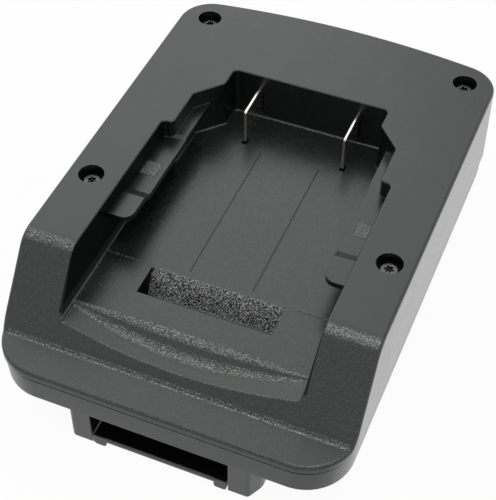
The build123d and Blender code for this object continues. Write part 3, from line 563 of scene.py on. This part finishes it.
@dataclass
class Terminals:
    """The two input blades in the pocket and the holder behind its wall."""

    plate: Plated = Plated("nickel_blades", (0.66, 0.64, 0.60), (0.97, 0.96, 0.93), 0.24, Grain.ALONG_Y,
                           0.10 * MM, 0.003 * MM, 0.12 * MM, (0.32, 0.28, 0.23), 0.12)
    holder: Moulded = Moulded("grey_nylon_holder", GREY_NYLON, GREY_RUBBED, roughness=0.42,
                              depth=0.012 * MM, coarse_depth=0.02 * MM)
    screw: Plated = Plated("bright_zinc_screws", ZINC, BRIGHT_ZINC, 0.26)

    def build(self) -> None:
        """Dresses the blades, holder and screws."""
        nickel = self.plate.make()
        dress("left_input_blade", nickel)
        dress("right_input_blade", nickel)
        dress("blade_holder", self.holder.make())
        dress("blade_holder_screws", self.screw.make())


@dataclass
class Foot:
    """The foot that slides onto a tool, with its screws, output contacts and their carrier."""

    # Painted shade over the channel between the foot's legs
    channel: Patch = Patch((-17.9, 17.9), (-63, -36), (3.3, 11), 0.92)
    body: Moulded = Moulded("black_nylon_foot", (0.030, 0.0305, 0.029), (0.060, 0.061, 0.059), roughness=0.32,
                            grain=0.36 * MM, depth=0.016 * MM, coarse_depth=0.03 * MM, painted_shade_patches=(channel,))
    carrier: Moulded = Moulded("grey_nylon_carrier", GREY_NYLON, GREY_RUBBED, roughness=0.42,
                               depth=0.012 * MM, coarse_depth=0.02 * MM)
    contact: Plated = Plated("stamped_brass_contacts", (0.74, 0.53, 0.22), (0.90, 0.72, 0.40), 0.27,
                             Grain.ALONG_Z, 0.10 * MM, 0.004 * MM, stain=(0.34, 0.17, 0.07))
    screw: Plated = Plated("bright_zinc_foot_screws", ZINC, BRIGHT_ZINC, 0.26)

    def build(self) -> None:
        """Dresses the foot and what it carries."""
        zinc = self.screw.make()
        brass = self.contact.make()
        dress("tool_foot", self.body.make())
        dress("foot_screws", zinc)
        dress("carrier_screws", zinc)
        dress("contact_carrier", self.carrier.make())
        dress("left_output_contact", brass)
        dress("right_output_contact", brass)


@dataclass
class Latch:
    """The release latch with its guide screws and return springs."""

    # Painted shade over the latch's top face
    top: Patch = Patch((-18, 18), (-63.3, -36), (3.3, 8), 0.92)
    bar: Moulded = Moulded("black_nylon_latch", (0.014, 0.0145, 0.014), (0.050, 0.051, 0.049), roughness=0.36,
                           depth=0.014 * MM, coarse_depth=0.03 * MM, painted_shade_patches=(top,))
    screw: Plated = Plated("bright_zinc_guides", ZINC, BRIGHT_ZINC, 0.26)
    wire: Plated = Plated("drawn_spring_wire", (0.42, 0.42, 0.43), (0.60, 0.60, 0.62), 0.25, Grain.ALONG_Z,
                          0.08 * MM, 0.002 * MM, 0.04 * MM)
    spring_top: float = 10.9 * MM
    spring_length: float = 7.4 * MM
    travel: float = 3.0 * MM

    def coil(self, node: str, wire: bpy.types.Material) -> None:
        """Stands a copy of a spring's solid in for it, carried with the housing.

        Args:
            node: Name of the spring's CAD node.
            wire: Finish of the wire.
        """
        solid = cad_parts[node]
        piece = bpy.data.objects.new(f"{node}_coil", solid.data.copy())
        bpy.context.scene.collection.objects.link(piece)
        piece.matrix_world = solid.matrix_world
        paint(piece, wire)
        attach(piece, "housing")
        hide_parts(node)
        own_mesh(piece)

    def build(self) -> None:
        """Dresses the latch, its guides and springs."""
        wire = self.wire.make()
        dress("release_latch", self.bar.make())
        dress("latch_guide_screws", self.screw.make())
        self.coil("left_latch_spring", wire)
        self.coil("right_latch_spring", wire)


@dataclass
class Wiring:
    """The two leads inside and the sleeves on their ends."""

    left: Flexible = Flexible("black_silicone_lead", (0.012, 0.012, 0.013), (0.10, 0.10, 0.10))
    right: Flexible = Flexible("red_silicone_lead", (0.38, 0.018, 0.014), (0.45, 0.20, 0.18))
    sleeve: Flexible = Flexible("shrink_sleeves", (0.018, 0.018, 0.020), (0.12, 0.12, 0.12), 0.34, Grain.NONE)

    def build(self) -> None:
        """Dresses the leads and sleeves."""
        dress("left_lead", self.left.make())
        dress("right_lead", self.right.make())
        dress("lead_sleeves", self.sleeve.make())


@dataclass(frozen=True)
class Softbox:
    """A rectangular studio lamp aimed at a point.

    Its direction is given from that point: azimuth 0 lies in front (-Y) and 90 to the right.
    """

    name: str
    azimuth: float
    elevation: float
    distance: float
    width: float
    height: float
    radiance: float

    def build(self, aim: Vector) -> None:
        """Hangs the lamp.

        Args:
            aim: Point that the lamp looks at.
        """
        turn = math.radians(self.azimuth)
        rise = math.radians(self.elevation)
        way = Vector((math.sin(turn) * math.cos(rise), -math.cos(turn) * math.cos(rise), math.sin(rise)))
        data = bpy.data.lights.new(self.name, "AREA")
        data.shape = "RECTANGLE"
        data.size = self.width
        data.size_y = self.height
        data.energy = self.radiance * self.width * self.height * math.pi
        lamp = bpy.data.objects.new(self.name, data)
        bpy.context.scene.collection.objects.link(lamp)
        lamp.location = aim + way * self.distance
        lamp.rotation_mode = "QUATERNION"
        lamp.rotation_quaternion = (-way).to_track_quat("-Z", "Y")
        log.info("hung lamp %s", self.name)


@dataclass
class Studio:
    """Pale floor, white surroundings, softboxes and the camera."""

    floor_size: float = 6.0
    floor_drop: float = 0.02 * MM
    floor_colour: Colour = (0.82, 0.82, 0.81)
    floor_glow: float = 0.95
    floor_roughness: float = 0.9
    floor_gloss: float = 0.1
    world_fill: float = 0.55
    eye: tuple[float, float, float] = (76.58 * MM, -201.09 * MM, 243.46 * MM)
    azimuth: float = 21.68
    elevation: float = 47.0
    roll: float = -0.84
    lens: float = 85.8
    nearest: float = 10 * MM
    aim: tuple[float, float, float] = (0, 0, 30 * MM)
    lamps: tuple[Softbox, ...] = (
        Softbox("back_softbox", azimuth=231.0, elevation=50.0, distance=1.3, width=1.7, height=1.0,
                radiance=1.02),
        Softbox("top_softbox", azimuth=60.0, elevation=84.0, distance=1.2, width=0.7, height=0.34,
                radiance=5.4),
    )

    def floor(self) -> None:
        """Lays a pale floor that looks white to the camera and keeps the shadow."""
        half = self.floor_size / 2
        z = -self.floor_drop
        outline = [(-half, -half, z), (half, -half, z), (half, half, z), (-half, half, z)]
        mesh = bpy.data.meshes.new("studio_floor")
        mesh.from_pydata(outline, [], [(0, 1, 2, 3)])
        floor = bpy.data.objects.new("studio_floor", mesh)
        bpy.context.scene.collection.objects.link(floor)
        s = Surface("studio_floor_paper")
        s.finish(Base_Color=(*self.floor_colour, 1), Roughness=self.floor_roughness,
                 Specular_IOR_Level=self.floor_gloss)
        rays = s.node("ShaderNodeLightPath").outputs
        white = s.node("ShaderNodeEmission", {}, {"Color": (1, 1, 1, 1), "Strength": 1.0})
        share = (s.signal(rays["Is Camera Ray"]) * self.floor_glow).most(s.signal(rays["Is Glossy Ray"]))
        share = share.most(s.signal(rays["Is Transmission Ray"]))
        s.cover(share, white)
        mesh.materials.append(s.material)

    def surroundings(self) -> None:
        """White world for the camera and for reflections, dimmer as a light."""
        world = bpy.data.worlds.new("studio_world")
        bpy.context.scene.world = world
        world.use_nodes = True
        tree = world.node_tree
        background = next(n for n in tree.nodes if n.type == "BACKGROUND")
        background.inputs["Color"].default_value = (1, 1, 1, 1)
        path = tree.nodes.new("ShaderNodeLightPath")
        seen = Signal(tree, path.outputs["Is Camera Ray"]).most(Signal(tree, path.outputs["Is Glossy Ray"]))
        seen = seen.most(Signal(tree, path.outputs["Is Transmission Ray"]))
        strength = seen * (1 - self.world_fill) + self.world_fill
        tree.links.new(strength.socket, background.inputs["Strength"])

    def camera(self) -> None:
        """Sets the camera where the photograph was taken from."""
        turn = math.radians(self.azimuth)
        rise = math.radians(self.elevation)
        back = Vector((math.sin(turn) * math.cos(rise), -math.cos(turn) * math.cos(rise), math.sin(rise)))
        level = Vector((math.cos(turn), math.sin(turn), 0))
        upright = back.cross(level)
        tilt = math.radians(self.roll)
        across = level * math.cos(tilt) - upright * math.sin(tilt)
        up = back.cross(across)
        data = bpy.data.cameras.new("studio_camera")
        data.lens = self.lens
        data.clip_start = self.nearest
        camera = bpy.data.objects.new("studio_camera", data)
        bpy.context.scene.collection.objects.link(camera)
        camera.matrix_world = Matrix((across, up, back)).transposed().to_4x4()
        camera.location = Vector(self.eye)
        bpy.context.scene.camera = camera

    def build(self) -> None:
        """Sets up the whole studio."""
        self.floor()
        self.surroundings()
        self.camera()
        for lamp in self.lamps:
            lamp.build(Vector(self.aim))
        bpy.context.scene.view_settings.view_transform = "Standard"


def main() -> None:
    """Builds the sub-assemblies in order."""
    logging.basicConfig(level=logging.INFO, format="%(message)s")
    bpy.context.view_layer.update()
    for part in (Housing(), Terminals(), Foot(), Latch(), Wiring(), Studio()):
        part.build()
        log.info("built %s", type(part).__name__)


if __name__ == "__main__":
    main()
